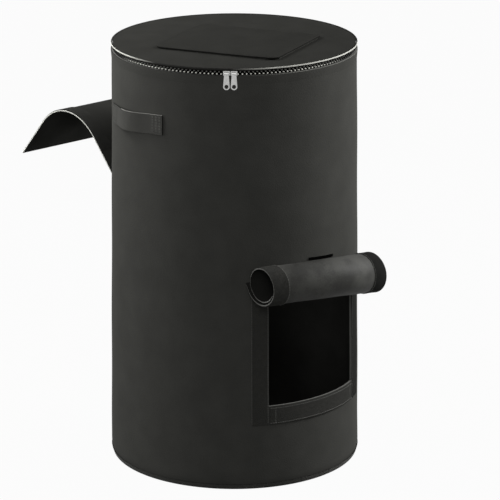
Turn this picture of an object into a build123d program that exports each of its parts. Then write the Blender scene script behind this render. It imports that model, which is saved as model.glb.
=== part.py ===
from build123d import *

import os
from math import asin, atan2, cos, degrees, hypot, radians, sin, sqrt, tan

# A round garden compost bin sewn from stiff cloth: zipped lid with a feed hatch, two carrying
# straps, a harvest door rolled up at the low front and a second door flap thrown up at the back.
# Millimetres. Z is up, the base stands on Z = 0, the front door faces -Y.
# Azimuths are degrees from -Y, growing towards +X.

# Body
BODY_DIAMETER = 444.0
BODY_HEIGHT = 780.0
FOOT_FLARE = 9.5
CLOTH = 2.4
LAYER_GAP = 0.3
TAPE = 1.1
BASE_BINDING_HEIGHT = 9.0
RIM_BINDING_HEIGHT = 16.0

# Front harvest door
DOOR_OPENING_WIDTH = 206.0
DOOR_OPENING_LOW = 157.0
DOOR_OPENING_HIGH = 366.0
DOOR_SEAM_RISE = 44.0
DOOR_STRIP_WIDTH = 30.0
FACING_BORDER = 31.0
FACING_FOOT = 36.0
FACING_HEAD = 14.0
FLAP_LAP = 27.0
STRIP_INSET = 2.0
STRIP = 1.0
KEEPER_LENGTH = 60.0
KEEPER_HEIGHT = 5.0
KEEPER_RISE = 8.0
KEEPER_AZIMUTH = 1.4

# Door flap, wound up outwards and sewn a little left of the opening's middle. Its roll follows
# most of the wall's curve, stands off more on the right, slopes, and hangs lower at its ends.
# Its seam dips towards the ends too.
FLAP_SHIFT = 9.0
SEAM_DIP = 18.0
ROLL_RADIUS = 36.9
ROLL_TAPER = 1.3
ROLL_DROP = 14.6
ROLL_SLOPE = 11.75
ROLL_FOLLOW = 0.9
ROLL_SKEW = 7.0
ROLL_DROOP = 12.15
TURN_GAP = 2.8
WIND_ARC = 105.0
WIND_ARCS = 4
FREE_END_ARC = 60.0
ROLL_STATIONS = 7

# Back door, its flap thrown up and arching out from the seam above the opening
BACK_OPENING_LOW = 182.0
BACK_OPENING_HIGH = 480.0
BACK_SEAM_RISE = 20.0
ARCH_RISE_ANGLE = 48.5
ARCH_RISE_RUN = 98.0
ARCH_CROWN_RADIUS = 100.2
ARCH_CROWN_TURN = 97.1
ARCH_FALL_RUN = 98.4

# Lid, zip and feed hatch
ZIP_FRONT = -43.8
ZIP_HALF_TURN = 150.0
LID_BINDING_HEIGHT = 3.8
TAPE_INSET = 18.0
TOOTH_HEIGHT = 2.2
TOOTH_DEPTH = 3.8
TOOTH_WIDTH = 2.4
TOOTH_PITCH = 7.4
ROW_GAP = 1.4
TEETH_BELOW_LID = 2.4
TEETH_ABOVE_WALL = 1.2
ZIP_TAPE = 1.0
END_STOP_LENGTH = 4.0
LID_HINGE_WIDTH = 118.0
LID_HINGE_HEIGHT = 30.0
HATCH_LENGTH = 240.0
HATCH_WIDTH = 205.0
HATCH_CENTRE = (-6.0, -19.0)
HATCH_TURN = -66.5
HATCH_LAP = 20.0
HATCH_CORNER = 14.0
HATCH_STRIP_WIDTH = 16.0

# Zip sliders and pulls
SLIDER_LENGTH = 11.5
SLIDER_SPACING = 13.0
SLIDER_PLATE = 2.0
SLIDER_CLEARANCE = 0.5
NECK_LENGTH = 4.0
EAR = 1.4
EAR_HEIGHT = 3.6
BAR_RADIUS = 0.9
EYE_RADIUS = 2.1
EYE_CLEARANCE = 0.25
PULL_LENGTH = 29.0
PULL_WIDTH = 11.5
PULL_THICKNESS = 1.6
PULL_HOLE_RADIUS = 3.6

# Carrying straps
HANDLE_AZIMUTH = 97.0
HANDLE_LENGTH = 160.0
HANDLE_PAD = 22.0
HANDLE_BOW = 14.0
HANDLE_DROP = 110.0
STRAP_WIDTH = 36.0
STRAP = 2.4

# Radii of the layers on the wall at its rim, from the inside out
WALL_OUTER = BODY_DIAMETER / 2
WALL_INNER = WALL_OUTER - CLOTH
SKIN = WALL_OUTER + LAYER_GAP
TAPE_OUTER = SKIN + TAPE
STRIP_INNER = TAPE_OUTER + LAYER_GAP
STRIP_OUTER = STRIP_INNER + STRIP

# Seams and widths of the two door flaps
DOOR_SEAM = DOOR_OPENING_HIGH + DOOR_SEAM_RISE
BACK_SEAM = BACK_OPENING_HIGH + BACK_SEAM_RISE
FLAP_WIDTH = DOOR_OPENING_WIDTH + 2 * FLAP_LAP
HALF_FLAP = FLAP_WIDTH / 2
HOOK_EDGE = HALF_FLAP - DOOR_STRIP_WIDTH
FRONT = 0.0
BACK = 180.0

# Heights of the zip, from the lid down
LID_LOW = BODY_HEIGHT - CLOTH
UPPER_TEETH_HIGH = LID_LOW - TEETH_BELOW_LID
UPPER_TEETH_LOW = UPPER_TEETH_HIGH - TOOTH_HEIGHT
LOWER_TEETH_HIGH = UPPER_TEETH_LOW - ROW_GAP
LOWER_TEETH_LOW = LOWER_TEETH_HIGH - TOOTH_HEIGHT
WALL_HIGH = LOWER_TEETH_LOW - TEETH_ABOVE_WALL
ZIP_TAPE_OUTER = WALL_INNER - LAYER_GAP
ZIP_TAPE_INNER = ZIP_TAPE_OUTER - ZIP_TAPE
TOOTH_MIDDLE = (ZIP_TAPE_INNER + ZIP_TAPE_OUTER) / 2
LID_BINDING_OUTER = WALL_OUTER + TAPE
LID_RADIUS = LID_BINDING_OUTER - CLOTH


def turn(arc):
    """Azimuth in degrees that an arc length takes up on the wall."""
    return degrees(arc / WALL_OUTER)


def outward(angle):
    """Unit vector that points away from the bin's axis at an azimuth."""
    return Vector(sin(radians(angle)), -cos(radians(angle)), 0)


def along(angle):
    """Unit vector along the wall at an azimuth, towards a larger azimuth."""
    return Vector(cos(radians(angle)), sin(radians(angle)), 0)


def section_plane(angle):
    """Upright plane through the bin's axis: local x runs outwards, local y runs up."""
    return Plane(origin=(0, 0, 0), x_dir=outward(angle), z_dir=-along(angle))


def lean(height):
    """How much further out the wall stands at a height than at its rim."""
    return FOOT_FLARE * max(0, 1 - height / WALL_HIGH)


def band(inner, outer, low, high, start, end):
    """Piece of a ring that leans with the wall, between two rim radii, heights and azimuths."""
    with BuildPart() as ring:
        with BuildSketch(section_plane(start)):
            with BuildLine():
                Polyline(
                    (inner + lean(low), low),
                    (outer + lean(low), low),
                    (outer + lean(high), high),
                    (inner + lean(high), high),
                    close=True,
                )
            make_face()
        revolve(axis=Axis.Z, revolution_arc=end - start)
    return ring.part


def hoop(inner, outer, low, high):
    """Whole ring that leans with the wall."""
    return band(inner, outer, low, high, 0, 360)


def save(piece, name):
    """Label a finished piece and write it to its own file."""
    piece.label = name
    export_step(piece, f"parts/{name}.step")


os.makedirs("parts", exist_ok=True)

# Wall, base and their bindings
DOOR_HALF = turn(DOOR_OPENING_WIDTH / 2)
FACING_HALF = DOOR_HALF + turn(FACING_BORDER)


def door_cut(middle, low, high):
    """Block that cuts a door opening through the wall and its facing."""
    return band(WALL_INNER - CLOTH, TAPE_OUTER + CLOTH, low, high, middle - DOOR_HALF, middle + DOOR_HALF)


with BuildPart() as wall_panel:
    add(hoop(WALL_INNER, WALL_OUTER, 0, WALL_HIGH))
    add(door_cut(FRONT, DOOR_OPENING_LOW, DOOR_OPENING_HIGH), mode=Mode.SUBTRACT)
    add(door_cut(BACK, BACK_OPENING_LOW, BACK_OPENING_HIGH), mode=Mode.SUBTRACT)
save(wall_panel.part, "wall_panel")

with BuildPart() as base_panel:
    with BuildSketch():
        Circle(WALL_INNER - LAYER_GAP + lean(CLOTH))
    extrude(amount=CLOTH)
save(base_panel.part, "base_panel")

save(hoop(SKIN, TAPE_OUTER, 0, BASE_BINDING_HEIGHT), "base_binding")
save(hoop(SKIN, TAPE_OUTER, WALL_HIGH - RIM_BINDING_HEIGHT, WALL_HIGH), "rim_binding")


def door_facing(middle, low, high):
    """Cloth facing sewn round a door opening."""
    left = middle - FACING_HALF
    right = middle + FACING_HALF
    with BuildPart() as facing:
        add(band(SKIN, TAPE_OUTER, low - FACING_FOOT, high + FACING_HEAD, left, right))
        add(door_cut(middle, low, high), mode=Mode.SUBTRACT)
    return facing.part


def loop_strips(name, middle, low, high):
    """Loop strips sewn on the facing to the left of, to the right of and under an opening."""
    inset = turn(STRIP_INSET)
    width = turn(FACING_BORDER) - 2 * inset
    foot = low - FACING_FOOT + STRIP_INSET
    for side, start in (("left", -FACING_HALF + inset), ("right", DOOR_HALF + inset)):
        strip = band(STRIP_INNER, STRIP_OUTER, foot, high, middle + start, middle + start + width)
        save(strip, f"{name}_loop_{side}")
    sill_half = DOOR_HALF - inset
    sill = band(STRIP_INNER, STRIP_OUTER, foot, low - STRIP_INSET, middle - sill_half, middle + sill_half)
    save(sill, f"{name}_loop_bottom")


save(door_facing(FRONT, DOOR_OPENING_LOW, DOOR_OPENING_HIGH), "front_door_facing")
save(door_facing(BACK, BACK_OPENING_LOW, BACK_OPENING_HIGH), "back_door_facing")
loop_strips("front_door", FRONT, DOOR_OPENING_LOW, DOOR_OPENING_HIGH)
loop_strips("back_door", BACK, BACK_OPENING_LOW, BACK_OPENING_HIGH)

keeper_low = DOOR_SEAM + KEEPER_RISE
keeper_half = turn(KEEPER_LENGTH / 2)
keeper_start = KEEPER_AZIMUTH - keeper_half
keeper_end = KEEPER_AZIMUTH + keeper_half
save(
    band(SKIN, TAPE_OUTER, keeper_low, keeper_low + KEEPER_HEIGHT, keeper_start, keeper_end),
    "roll_keeper_tab",
)

# Rolled front flap
WIND_STEP = (CLOTH + TURN_GAP) * WIND_ARC / 360
STATION_STEP = 2 * HOOK_EDGE / (ROLL_STATIONS - 1)
STATION_SAG = STATION_STEP**2 / (4 * BODY_DIAMETER)
FLAP_ROOT = TAPE_OUTER + LAYER_GAP + STATION_SAG + CLOTH / 2 + lean(DOOR_SEAM)
ROLL_BOW = ROLL_FOLLOW * (FLAP_ROOT - sqrt(FLAP_ROOT**2 - HALF_FLAP**2))


def wound_path(x, lift):
    """Edges of the wound sheet in the plane at x, moved outwards by lift: its tail, then its arcs."""
    share = (x + FLAP_SHIFT) / HALF_FLAP
    radius = ROLL_RADIUS + ROLL_TAPER * share
    root = (-sqrt(FLAP_ROOT**2 - x**2), DOOR_SEAM - SEAM_DIP * share**2)
    middle = (
        -(FLAP_ROOT + ROLL_RADIUS) - ROLL_SKEW * share + ROLL_BOW * share**2,
        DOOR_SEAM - ROLL_DROP - ROLL_SLOPE * share - ROLL_DROOP * share**2,
    )
    reach = (middle[0] - root[0], middle[1] - root[1])
    span = hypot(*reach)
    heading = atan2(reach[1], reach[0]) + asin(radius / span)
    tail_length = sqrt(span**2 - radius**2)
    start = Vector(root[0] - lift * sin(heading), root[1] + lift * cos(heading))
    end = start + Vector(cos(heading), sin(heading)) * tail_length
    path = [Line(start, end, mode=Mode.PRIVATE)]
    sweeps = [WIND_ARC] * WIND_ARCS + [FREE_END_ARC]
    for number, sweep in enumerate(sweeps):
        last = path[-1]
        arc_radius = radius - number * WIND_STEP + lift
        path.append(JernArc(last @ 1, last % 1, arc_radius, -sweep, mode=Mode.PRIVATE))
    return path


def wound_outline(x, near, far, first, last):
    """Closed outline between two lifts of the wound sheet, from one of its edges to another."""
    with BuildSketch(Plane.YZ.offset(x)) as outline:
        with BuildLine():
            inside = wound_path(x, near)[first:last]
            outside = wound_path(x, far)[first:last]
            add(inside)
            add(outside)
            Line(inside[0] @ 0, outside[0] @ 0)
            Line(inside[-1] @ 1, outside[-1] @ 1)
        make_face()
    return outline.sketch


def wound_solid(stations, near, far, first, last):
    """Solid through the outlines at the stations along the roll."""
    with BuildPart() as solid:
        loft([wound_outline(x, near, far, first, last) for x in stations], ruled=True)
    return solid.part


ALL_EDGES = (0, WIND_ARCS + 2)
BAND_EDGES = (1, WIND_ARCS)
FREE_EDGE = (WIND_ARCS + 1, WIND_ARCS + 2)
HOOK_LOW = CLOTH / 2 + LAYER_GAP
HOOK_HIGH = HOOK_LOW + STRIP
roll_left = -HALF_FLAP - FLAP_SHIFT
roll_right = HALF_FLAP - FLAP_SHIFT
inner_stations = [number * STATION_STEP - HOOK_EDGE - FLAP_SHIFT for number in range(ROLL_STATIONS)]
left_stations = [roll_left, inner_stations[0]]
right_stations = [inner_stations[-1], roll_right]
roll_stations = [roll_left, *inner_stations, roll_right]
save(wound_solid(roll_stations, -CLOTH / 2, CLOTH / 2, *ALL_EDGES), "front_door_flap")
save(wound_solid(left_stations, HOOK_LOW, HOOK_HIGH, *BAND_EDGES), "front_door_hook_left")
save(wound_solid(right_stations, HOOK_LOW, HOOK_HIGH, *BAND_EDGES), "front_door_hook_right")
save(wound_solid(inner_stations, HOOK_LOW, HOOK_HIGH, *FREE_EDGE), "front_door_hook_bottom")

# Arched back flap
BACK_SKIN = SKIN + lean(BACK_SEAM)
ARCH_ROOT = sqrt(BACK_SKIN**2 - HALF_FLAP**2)


def arch_outline(x, low, high, start, fall):
    """Outline of the arched sheet at x between two lifts, from a distance along its first run."""
    rise = Vector(cos(radians(ARCH_RISE_ANGLE)), sin(radians(ARCH_RISE_ANGLE)))
    above = Vector(-rise.Y, rise.X)
    root = Vector(ARCH_ROOT, BACK_SEAM) + rise * start + above * low
    with BuildSketch(Plane.YZ.offset(x)) as outline:
        with BuildLine():
            run = PolarLine(root, ARCH_RISE_RUN - start, ARCH_RISE_ANGLE)
            crown = JernArc(run @ 1, run % 1, ARCH_CROWN_RADIUS + low, -ARCH_CROWN_TURN)
            PolarLine(crown @ 1, fall, ARCH_RISE_ANGLE - ARCH_CROWN_TURN)
            offset(amount=high - low, side=Side.LEFT)
        make_face()
    return outline.sketch


def arch_band(start_x, end_x, low, high, start, fall):
    """Width of the arched sheet, or of a strip on it."""
    with BuildPart() as strip:
        extrude(arch_outline(start_x, low, high, start, fall), amount=end_x - start_x)
    return strip.part


# The sheet hugs the wall from its seam up to where the arch leaves it
with BuildPart() as back_flap_root:
    with BuildSketch(Plane.YZ.offset(-HALF_FLAP)):
        climb = (BACK_SKIN + CLOTH - ARCH_ROOT) * tan(radians(ARCH_RISE_ANGLE))
        with BuildLine():
            Polyline(
                (ARCH_ROOT, BACK_SEAM),
                (BACK_SKIN + CLOTH, BACK_SEAM),
                (BACK_SKIN + CLOTH, BACK_SEAM + climb + CLOTH),
                (ARCH_ROOT, BACK_SEAM + CLOTH),
                close=True,
            )
        make_face()
    extrude(amount=FLAP_WIDTH)
    with BuildSketch(Plane.XY.offset(BACK_SEAM)):
        Circle(BACK_SKIN + CLOTH)
        Circle(BACK_SKIN, mode=Mode.SUBTRACT)
    extrude(amount=climb + CLOTH, mode=Mode.INTERSECT)

with BuildPart() as back_door_flap:
    add(arch_band(-HALF_FLAP, HALF_FLAP, 0, CLOTH, -CLOTH, ARCH_FALL_RUN))
    with BuildSketch():
        Circle(BACK_SKIN)
    extrude(amount=BODY_HEIGHT, mode=Mode.SUBTRACT)
    add(back_flap_root.part)
save(back_door_flap.part, "back_door_flap")

# Hook strips on the flap's inner face, which is its upper face while it is thrown up
ARCH_HOOK_LOW = CLOTH + LAYER_GAP
ARCH_HOOK_HIGH = ARCH_HOOK_LOW + STRIP
arch_hook_start = (BACK_SKIN + CLOTH + STRIP - ARCH_ROOT) / cos(radians(ARCH_RISE_ANGLE))
arch_hook_fall = ARCH_FALL_RUN - DOOR_STRIP_WIDTH - 2 * STRIP_INSET
hook_outer = HALF_FLAP - STRIP_INSET
for side, start_x, end_x in (("right", -hook_outer, -HOOK_EDGE), ("left", HOOK_EDGE, hook_outer)):
    side_hook = arch_band(start_x, end_x, ARCH_HOOK_LOW, ARCH_HOOK_HIGH, arch_hook_start, arch_hook_fall)
    save(side_hook, f"back_door_hook_{side}")

with BuildPart() as back_door_hook_bottom:
    add(arch_band(-hook_outer, hook_outer, ARCH_HOOK_LOW, ARCH_HOOK_HIGH, 0, ARCH_FALL_RUN - STRIP_INSET))
    add(
        arch_band(-HALF_FLAP, HALF_FLAP, 0, ARCH_HOOK_HIGH + STRIP, 0, arch_hook_fall + STRIP_INSET),
        mode=Mode.SUBTRACT,
    )
save(back_door_hook_bottom.part, "back_door_hook_bottom")

# Lid panel with the hatch opening, and its binding
HATCH_PLANE = Plane(
    origin=(HATCH_CENTRE[0], HATCH_CENTRE[1], BODY_HEIGHT),
    x_dir=(cos(radians(HATCH_TURN)), sin(radians(HATCH_TURN)), 0),
    z_dir=(0, 0, 1),
)
HATCH_OPENING_LENGTH = HATCH_LENGTH - 2 * HATCH_LAP
HATCH_OPENING_WIDTH = HATCH_WIDTH - 2 * HATCH_LAP

with BuildPart() as lid_panel:
    with BuildSketch(Plane.XY.offset(LID_LOW)):
        Circle(LID_RADIUS - LAYER_GAP)
    extrude(amount=CLOTH)
    with BuildSketch(HATCH_PLANE):
        RectangleRounded(HATCH_OPENING_LENGTH, HATCH_OPENING_WIDTH, HATCH_CORNER)
    extrude(amount=-CLOTH, mode=Mode.SUBTRACT)
save(lid_panel.part, "lid_panel")

lid_binding_low = LID_LOW - LAYER_GAP
save(
    hoop(LID_RADIUS, LID_BINDING_OUTER, lid_binding_low, lid_binding_low + LID_BINDING_HEIGHT),
    "lid_binding",
)

# Feed hatch: loop strips on the lid, hook strips under the flap, the flap on top
HATCH_FLAP_LOW = 2 * STRIP + LAYER_GAP
STRIP_REACH = HATCH_WIDTH - 2 * HATCH_STRIP_WIDTH
side_across = (HATCH_LENGTH - HATCH_STRIP_WIDTH) / 2 - STRIP_INSET
near_across = -(HATCH_WIDTH - HATCH_STRIP_WIDTH) / 2 + STRIP_INSET
near_length = HATCH_LENGTH - 2 * (HATCH_STRIP_WIDTH + 2 * STRIP_INSET)


def hatch_strips(kind, low):
    """Strips along the hatch's left, right and near edges, at a height above the lid."""
    for name, place, length, width in (
        ("left", (-side_across, 0), HATCH_STRIP_WIDTH, STRIP_REACH),
        ("right", (side_across, 0), HATCH_STRIP_WIDTH, STRIP_REACH),
        ("near", (0, near_across), near_length, HATCH_STRIP_WIDTH),
    ):
        with BuildPart() as strip:
            with BuildSketch(HATCH_PLANE.offset(low)):
                with Locations(place):
                    Rectangle(length, width)
            extrude(amount=STRIP)
        save(strip.part, f"hatch_{kind}_{name}")


hatch_strips("loop", 0)
hatch_strips("hook", STRIP + LAYER_GAP)

with BuildPart() as hatch_flap:
    with BuildSketch(HATCH_PLANE.offset(HATCH_FLAP_LOW)):
        RectangleRounded(HATCH_LENGTH, HATCH_WIDTH, HATCH_CORNER)
    extrude(amount=CLOTH)
save(hatch_flap.part, "hatch_flap")

with BuildPart() as hatch_hinge_strip:
    with BuildSketch(HATCH_PLANE):
        with Locations((0, (HATCH_WIDTH - HATCH_STRIP_WIDTH) / 2 - STRIP_INSET)):
            Rectangle(near_length, HATCH_STRIP_WIDTH)
    extrude(amount=HATCH_FLAP_LOW - LAYER_GAP)
save(hatch_hinge_strip.part, "hatch_hinge_strip")

# Zip round the rim: tapes, teeth and end stops
ZIP_START = ZIP_FRONT - ZIP_HALF_TURN
ZIP_END = ZIP_FRONT + ZIP_HALF_TURN
lower_tape_low = WALL_HIGH - TAPE_INSET
lower_tape = band(ZIP_TAPE_INNER, ZIP_TAPE_OUTER, lower_tape_low, LOWER_TEETH_LOW, ZIP_START, ZIP_END)
upper_tape = band(ZIP_TAPE_INNER, ZIP_TAPE_OUTER, UPPER_TEETH_HIGH, LID_LOW, ZIP_START, ZIP_END)
save(lower_tape, "zip_tape_lower")
save(upper_tape, "zip_tape_upper")

tooth_turn = degrees(TOOTH_PITCH / TOOTH_MIDDLE)
tooth_count = int(2 * ZIP_HALF_TURN / tooth_turn)


def teeth(low, first):
    """One row of separate teeth along the zip, standing on a height, from an azimuth on."""
    first_angle = degrees(atan2(outward(first).Y, outward(first).X))
    all_turns = tooth_count * tooth_turn
    with BuildPart(Plane.XY.offset(low)) as row:
        with PolarLocations(TOOTH_MIDDLE, tooth_count, start_angle=first_angle, angular_range=all_turns):
            Box(TOOTH_DEPTH, TOOTH_WIDTH, TOOTH_HEIGHT, align=(Align.CENTER, Align.CENTER, Align.MIN))
    return row.part


save(teeth(LOWER_TEETH_LOW, ZIP_START + tooth_turn / 4), "zip_teeth_lower")
save(teeth(UPPER_TEETH_LOW, ZIP_START + 3 * tooth_turn / 4), "zip_teeth_upper")

stop_inner = TOOTH_MIDDLE - TOOTH_DEPTH / 2
stop_outer = TOOTH_MIDDLE + TOOTH_DEPTH / 2
stop_turn = turn(END_STOP_LENGTH)
with BuildPart() as zip_end_stops:
    add(band(stop_inner, stop_outer, LOWER_TEETH_LOW, LOWER_TEETH_HIGH, ZIP_START - stop_turn, ZIP_START))
    add(band(stop_inner, stop_outer, LOWER_TEETH_LOW, LOWER_TEETH_HIGH, ZIP_END, ZIP_END + stop_turn))
save(zip_end_stops.part, "zip_end_stops")

# Cloth hinge of the lid, opposite the place where the sliders meet
hinge_start = ZIP_FRONT + BACK - turn(LID_HINGE_WIDTH / 2)
hinge_end = ZIP_FRONT + BACK + turn(LID_HINGE_WIDTH / 2)
hinge_outer = STRIP_INNER + TAPE
hinge_high = lid_binding_low - LAYER_GAP
hinge_low = hinge_high - LID_HINGE_HEIGHT
save(band(STRIP_INNER, hinge_outer, hinge_low, hinge_high, hinge_start, hinge_end), "lid_hinge_strip")

# Sliders and pulls
ROW_MIDDLE = (LOWER_TEETH_HIGH + UPPER_TEETH_LOW) / 2
FRONT_PLATE_INNER = TOOTH_MIDDLE + TOOTH_DEPTH / 2 + SLIDER_CLEARANCE
FRONT_PLATE_OUTER = FRONT_PLATE_INNER + SLIDER_PLATE
BACK_PLATE_OUTER = TOOTH_MIDDLE - TOOTH_DEPTH / 2 - SLIDER_CLEARANCE
BACK_PLATE_INNER = BACK_PLATE_OUTER - SLIDER_PLATE
SLIDER_LOW = WALL_HIGH + LAYER_GAP
SLIDER_HIGH = UPPER_TEETH_HIGH + TEETH_BELOW_LID / 2
LIP_HIGH = LOWER_TEETH_LOW - LAYER_GAP
NECK_LOW = LOWER_TEETH_HIGH + LAYER_GAP
NECK_HIGH = UPPER_TEETH_LOW - LAYER_GAP
BAR_PLACE = FRONT_PLATE_OUTER + EYE_RADIUS + EYE_CLEARANCE
PULL_NECK = SLIDER_LENGTH - 2 * (EAR + 2 * EYE_CLEARANCE)


def plate(inner, outer, low, high):
    """Rectangle between two radii and heights, in the sketch of an upright section."""
    with Locations(((inner + outer) / 2, (low + high) / 2)):
        Rectangle(outer - inner, high - low)


def slider(angle, lead):
    """Slider at an azimuth: two plates with lips under the lower row, a neck on its leading side."""
    middle = section_plane(angle)
    with BuildPart() as body:
        with BuildSketch(middle):
            plate(FRONT_PLATE_INNER, FRONT_PLATE_OUTER, SLIDER_LOW, SLIDER_HIGH)
            plate(BACK_PLATE_INNER, BACK_PLATE_OUTER, SLIDER_LOW, SLIDER_HIGH)
            plate(ZIP_TAPE_OUTER + SLIDER_CLEARANCE, FRONT_PLATE_OUTER, SLIDER_LOW, LIP_HIGH)
            plate(BACK_PLATE_INNER, ZIP_TAPE_INNER - SLIDER_CLEARANCE, SLIDER_LOW, LIP_HIGH)
        extrude(amount=SLIDER_LENGTH / 2, both=True)
        with BuildSketch(middle.offset(-lead * (SLIDER_LENGTH - NECK_LENGTH) / 2)):
            plate(BACK_PLATE_INNER, FRONT_PLATE_OUTER, NECK_LOW, NECK_HIGH)
        extrude(amount=NECK_LENGTH / 2, both=True)
        for end in (-1, 1):
            with BuildSketch(middle.offset(end * (SLIDER_LENGTH - EAR) / 2)):
                plate(
                    FRONT_PLATE_INNER,
                    BAR_PLACE + EYE_RADIUS - EYE_CLEARANCE,
                    ROW_MIDDLE - EAR_HEIGHT / 2,
                    ROW_MIDDLE + EAR_HEIGHT / 2,
                )
            extrude(amount=EAR / 2, both=True)
        with BuildSketch(middle):
            with Locations((BAR_PLACE, ROW_MIDDLE)):
                Circle(BAR_RADIUS)
        extrude(amount=SLIDER_LENGTH / 2, both=True)
    return body.part


def pull(angle):
    """Pull tab hanging from the slider's bar, tapered, with a round hole in its rounded end."""
    face = Plane(
        origin=outward(angle) * (BAR_PLACE - PULL_THICKNESS / 2),
        x_dir=along(angle),
        z_dir=outward(angle),
    )
    foot = ROW_MIDDLE - PULL_LENGTH + PULL_WIDTH / 2
    with BuildPart() as tab:
        with BuildSketch(section_plane(angle)):
            with Locations((BAR_PLACE, ROW_MIDDLE)):
                Circle(EYE_RADIUS)
        extrude(amount=PULL_NECK / 2, both=True)
        with BuildSketch(face):
            with BuildLine():
                Polyline(
                    (-PULL_NECK / 2, ROW_MIDDLE),
                    (-PULL_WIDTH / 2, foot),
                    (PULL_WIDTH / 2, foot),
                    (PULL_NECK / 2, ROW_MIDDLE),
                    close=True,
                )
            make_face()
            with Locations((0, foot)):
                Circle(PULL_WIDTH / 2)
                Circle(PULL_HOLE_RADIUS, mode=Mode.SUBTRACT)
        extrude(amount=PULL_THICKNESS)
        with BuildSketch(section_plane(angle)):
            with Locations((BAR_PLACE, ROW_MIDDLE)):
                Circle(BAR_RADIUS + EYE_CLEARANCE)
        extrude(amount=SLIDER_LENGTH / 2, both=True, mode=Mode.SUBTRACT)
    return tab.part


slider_turn = turn(SLIDER_SPACING / 2)
for side, lead in (("left", 1), ("right", -1)):
    place = ZIP_FRONT - lead * slider_turn
    save(slider(place, lead), f"slider_{side}")
    save(pull(place), f"pull_{side}")

# Carrying straps, sewn down at both ends and bowed away from the wall between them
PAD_TURN = turn(HANDLE_PAD)
STRAP_HALF = turn(HANDLE_LENGTH / 2)
STRAP_LOW = BODY_HEIGHT - HANDLE_DROP - STRAP_WIDTH / 2
STRAP_INNER = SKIN + lean(STRAP_LOW)
STRAP_OUTER = STRAP_INNER + STRAP


def strap_line(middle, radius):
    """One face of a strap seen from above: a pad on the wall, the bow, a pad on the wall."""
    edge = STRAP_HALF
    pad = STRAP_HALF - PAD_TURN
    knots = [(-edge, -(edge + pad) / 2, -pad), (pad, (edge + pad) / 2, edge)]
    for first, halfway, last in knots:
        ThreePointArc(*(outward(middle + place) * radius for place in (first, halfway, last)))
    crest = outward(middle) * (radius + HANDLE_BOW)
    ThreePointArc(outward(middle - pad) * radius, crest, outward(middle + pad) * radius)


for side, middle in (("left", -HANDLE_AZIMUTH), ("right", HANDLE_AZIMUTH)):
    with BuildPart() as handle:
        with BuildSketch(Plane.XY.offset(STRAP_LOW)):
            with BuildLine():
                strap_line(middle, STRAP_INNER)
                strap_line(middle, STRAP_OUTER)
                for edge in (middle - STRAP_HALF, middle + STRAP_HALF):
                    Line(outward(edge) * STRAP_INNER, outward(edge) * STRAP_OUTER)
            make_face()
        extrude(amount=STRAP_WIDTH)
    save(handle.part, f"handle_{side}")
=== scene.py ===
import bpy
import numpy as np
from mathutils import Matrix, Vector


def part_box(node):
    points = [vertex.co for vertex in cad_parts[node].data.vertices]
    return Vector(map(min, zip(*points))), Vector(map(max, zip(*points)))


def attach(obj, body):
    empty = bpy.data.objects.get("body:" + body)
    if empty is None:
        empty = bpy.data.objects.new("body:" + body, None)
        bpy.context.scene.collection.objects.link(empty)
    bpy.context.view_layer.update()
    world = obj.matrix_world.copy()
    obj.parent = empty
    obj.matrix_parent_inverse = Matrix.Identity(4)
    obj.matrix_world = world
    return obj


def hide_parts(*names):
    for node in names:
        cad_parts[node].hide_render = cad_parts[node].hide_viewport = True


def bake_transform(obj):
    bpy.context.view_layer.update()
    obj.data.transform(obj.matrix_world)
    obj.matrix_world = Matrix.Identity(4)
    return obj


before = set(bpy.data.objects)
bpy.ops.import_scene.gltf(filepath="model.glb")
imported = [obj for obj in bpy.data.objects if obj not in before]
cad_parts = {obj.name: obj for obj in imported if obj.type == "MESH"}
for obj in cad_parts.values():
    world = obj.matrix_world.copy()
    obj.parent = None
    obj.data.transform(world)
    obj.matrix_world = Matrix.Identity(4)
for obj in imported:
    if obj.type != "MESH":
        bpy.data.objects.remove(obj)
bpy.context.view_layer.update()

# Looks of a round garden compost bin sewn from stiff charcoal cloth.
# Metres. Z is up and the front door faces -Y. Azimuths are radians from -Y, growing towards +X.

# Sizes of the sewn pieces, as in the solids
CLOTH = 0.0024
LAYER_GAP = 0.0003
TAPE = 0.0011
ZIP_TAPE = 0.001
STRIP = 0.001
STRIP_INSET = 0.002
DOOR_WIDTH = 0.206
DOOR_LOW = 0.157
DOOR_HIGH = 0.366
DOOR_SEAM = 0.410
BACK_LOW = 0.182
BACK_HIGH = 0.480
BACK_SEAM = 0.500
FACING_BORDER = 0.031
FACING_FOOT = 0.036
FACING_HEAD = 0.014
DOOR_STRIP_WIDTH = 0.030
HALF_FLAP = 0.130
HOOK_EDGE = HALF_FLAP - DOOR_STRIP_WIDTH
FOOT_TAPE_HEIGHT = 0.009

# Tab above the roll, a little askew
KEEPER_LENGTH = 0.060
KEEPER_LOW = 0.418
KEEPER_HEIGHT = 0.005
KEEPER_AZIMUTH = np.radians(1.4)
KEEPER_LIFT = -0.0006
KEEPER_SLOPE = 0.0028

# Tape round the rim, thinned out at its lower edge: distances below the rim
RIM_TAPE_LOW = 0.016
RIM_TAPE_FULL = 0.003
RIM_TAPE_ROUND = 0.0005
RIM_CREST = 0.0006

# Roll of the front flap, drawn in at the ends of its inner turns, with hook bands as wide as they show
FLAP_SHIFT = 0.009
SEAM_DIP = 0.018
ROLL_ROOT = 0.22996
ROLL_RADIUS = 0.0369
ROLL_TAPER = 0.0013
ROLL_DROP = 0.0146
ROLL_SLOPE = 0.01175
ROLL_BOW = 0.0362
ROLL_SKEW = 0.007
ROLL_DROOP = 0.01215
ROLL_RIPPLE = 0.0003
RIPPLES_ALONG = 9
RIPPLES_ROUND = 2
ROLL_DRAWN_IN = 0.003
DRAWN_IN_POWER = 8
TURN_STEP = 0.0052
WOUND_TURN = np.radians(480)
HOOKED_TURN = np.radians(315)
FREE_TURN = np.radians(60)
LEFT_BAND_WIDTH = 0.025
RIGHT_BAND_WIDTH = 0.044

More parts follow.
